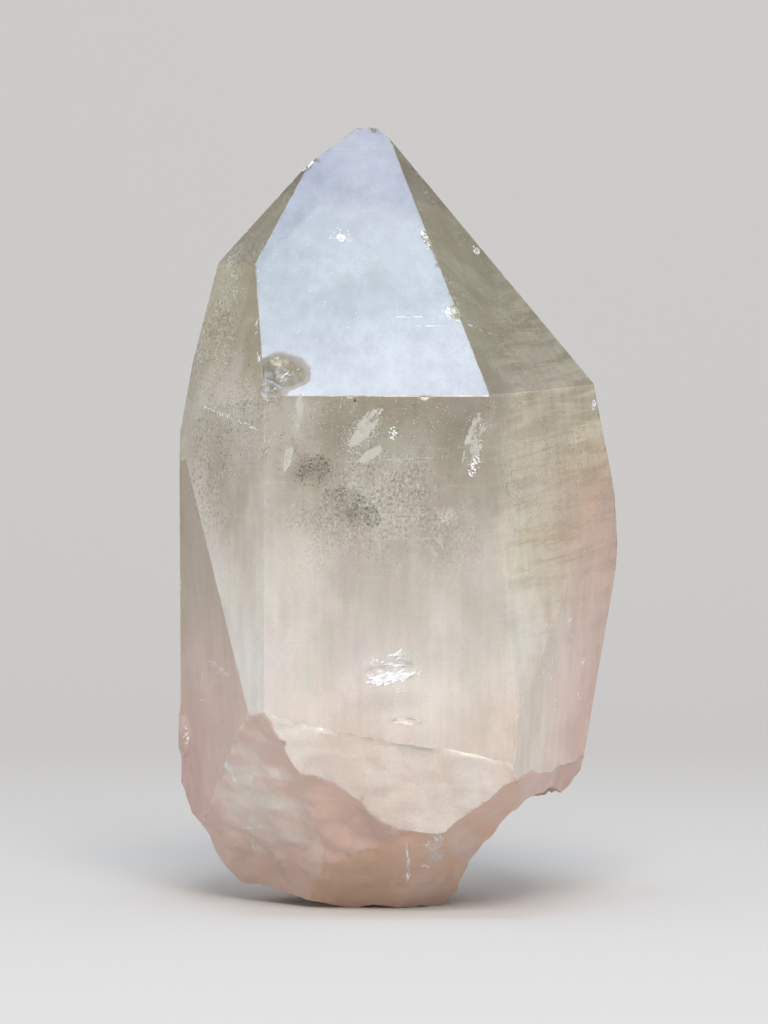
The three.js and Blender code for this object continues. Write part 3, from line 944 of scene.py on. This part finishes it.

# Bright bruises: pure white flakes, partly powder where a knock crushed the quartz and partly painted glints
# where it opened cracks that flash.
SPARKS = [
    ((231, 418), (31, 1.8), -24, 88, (0.06, 0.18), -0.2),
    ((393, 433), (4, 8), -20, 36, (0.04, 0.16), 0.0),
    ((474, 466), (6, 11), -8, 77, (0.05, 0.2), -0.1),
    ((391, 677), (22, 4.5), 12, 82, (0.3, 1.2), -0.8, (0.12, 0.35), (0, 26), 0.12),
    ((384, 680), (13, 5), 6, 33, (0.3, 0.9), -1.0, (0.15, 0.4), (-6, 20), 0.12),
    ((397, 665), (12, 2), -2, 22, (0.3, 0.9), -0.8, (0.1, 0.25), (-8, 10), 0.12),
    ((400, 655), (12, 4), 12, 28, (0.15, 0.7), -0.2, (0.1, 0.3), (0, 50), 0.2),
    ((378, 661), (10, 6), 30, 16, (0.1, 0.4), -0.1, (0.12, 0.35), (20, 70), 0.2),
    ((417, 674), (9, 4), 0, 16, (0.1, 0.5), -0.1, (0.12, 0.3), (0, 60), 0.2),
    ((365, 667), (3, 4), 0, 8, (0.1, 0.3), -0.3, (0.12, 0.3), (0, 60), 0.2),
    ((404, 690), (16, 3), 8, 8, (0.1, 0.5), -0.2, (0.1, 0.2), (0, 16), 0.1),
    ((450, 312), (5, 5), 0, 60, (0.06, 0.26), -1.0, (0.2, 0.7)),
    ((450, 312), (9, 8), 0, 26, (0.05, 0.3), -0.2, (0.1, 0.3)),
    ((425, 240), (3, 9), 20, 50, (0.05, 0.2), -0.2),
    ((341, 238), (4, 3.5), 0, 33, (0.1, 0.3), -1.0),
    ((341, 236), (12, 9), 0, 33, (0.04, 0.12), -0.2),
    ((476, 250), (3, 5), 40, 33, (0.06, 0.2), -0.3),
    ((307, 165), (9, 3), 40, 44, (0.06, 0.2), -0.3),
    ((231, 772), (2.2, 14), 28, 60, (0.1, 0.5), -0.3, (0.1, 0.3), (52, 84), 0.05),
    ((253, 777), (9, 4), 20, 36, (0.1, 0.4), -0.1, (0.1, 0.3), (20, 100), 0.05),
    ((248, 829), (7, 2), 0, 16, (0.1, 0.4), -0.3, (0.1, 0.25), (-10, 10), 0.05),
    ((253, 842), (1, 7), 0, 10, (0.1, 0.4), -0.3, (0.1, 0.25), (80, 100), 0.05),
    ((434, 848), (10, 13), 20, 60, (0.15, 0.7), 0.0, (0.05, 0.12), (20, 110), 0.1),
    ((408, 860), (0.8, 17), 5, 30, (0.3, 0.9), -1.0, (0.06, 0.12), (80, 88), 0.05),
    ((407, 876), (1.2, 4), 5, 12, (0.15, 0.4), -1.0, (0.2, 0.4), (70, 100), 0.05),
    ((583, 662), (2, 5), 0, 22, (0.05, 0.16), -0.2),
    ((300, 296), (60, 60), 0, 16, (0.04, 0.09), 0.1),
    ((422, 317), (26, 0.6), 0, 22, (0.15, 0.6), -0.1, (0.04, 0.1), (-3, 3), 0.02),
    ((434, 326), (16, 0.5), 0, 13, (0.15, 0.6), -0.1, (0.04, 0.1), (-3, 3), 0.02),
    ((474, 327), (18, 0.6), -22, 14, (0.15, 0.6), -0.1, (0.04, 0.1), (-26, -18), 0.02),
    ((560, 560), (60, 0.8), 20, 38, (0.04, 0.1), -0.1),
    ((203, 675), (1.2, 5), 0, 16, (0.05, 0.14), -0.5),
    ((203, 700), (3, 1), 0, 11, (0.05, 0.14), -0.5),
    ((222, 675), (6, 7), 0, 33, (0.04, 0.13), 0.0),
    ((186, 735), (3, 9), 0, 38, (0.06, 0.2), -0.1),
    ((212, 664), (26, 3), -30, 33, (0.04, 0.12), 0.0),
    ((562, 650), (26, 70), 0, 38, (0.12, 0.4), 0.0, (0.1, 0.3), (80, 100)),
    ((543, 760), (60, 4), 10, 16, (0.04, 0.1), 0.0),
    ((425, 830), (12, 2), 0, 28, (0.05, 0.16), -0.2),
    ((258, 340), (1.2, 26), 3, 16, (0.2, 0.6), 0.0, (0.08, 0.2), (80, 96), 0.1),
    ((440, 838), (4, 6), 20, 22, (0.1, 0.4), -0.3, (0.2, 0.5), (40, 110), 0.1),
    ((425, 868), (5, 3), 0, 12, (0.1, 0.4), -0.3, (0.2, 0.4), (0, 60), 0.1),
    ((360, 862), (30, 14), 0, 14, (0.1, 0.4), 0.0, (0.1, 0.3), (0, 180), 0.1),
    ((594, 406), (2, 6), 0, 28, (0.06, 0.2), -0.3),
    ((292, 372), (12, 3), 32, 18, (0.1, 0.5), -0.1, (0.06, 0.16), (24, 44), 0.05),
    ((280, 384), (9, 4), 40, 12, (0.1, 0.4), -0.1, (0.06, 0.16), (30, 60), 0.05),
]
sparks = [spot for spark in SPARKS for spot in patch(*spark)]
scattered("bruises_and_painted_glints", sparks, 5, bright)

# The same on the sides that the photograph doesn't show, at random places.
hidden_wisps, hidden_dust, hidden_sparks = [], [], []
for bearing in (112, 150, 190, 236, 270):
    for number in range(5):
        middle = (random.uniform(310, 460), random.uniform(240, 620))
        reach = (random.uniform(10, 44), random.uniform(14, 60))
        along = random.uniform(-50, 50)
        hidden_wisps += patch(middle, reach, along, 150, (0.04, 0.15), 0.05, bearing=bearing)
        middle = (random.uniform(310, 460), random.uniform(240, 560))
        hidden_dust += patch(middle, reach, along, 90, (0.03, 0.09), 0.05, bearing=bearing)
        middle = (random.uniform(320, 450), random.uniform(300, 800))
        hidden_sparks += patch(middle, (10, 5), along, 28, (0.05, 0.2), 0.0, bearing=bearing)
scattered("hidden_wisps", hidden_wisps, 4, milky)
scattered("hidden_dust", hidden_dust, 4, chlorite)
scattered("hidden_bruises_and_glints", hidden_sparks, 5, bright)
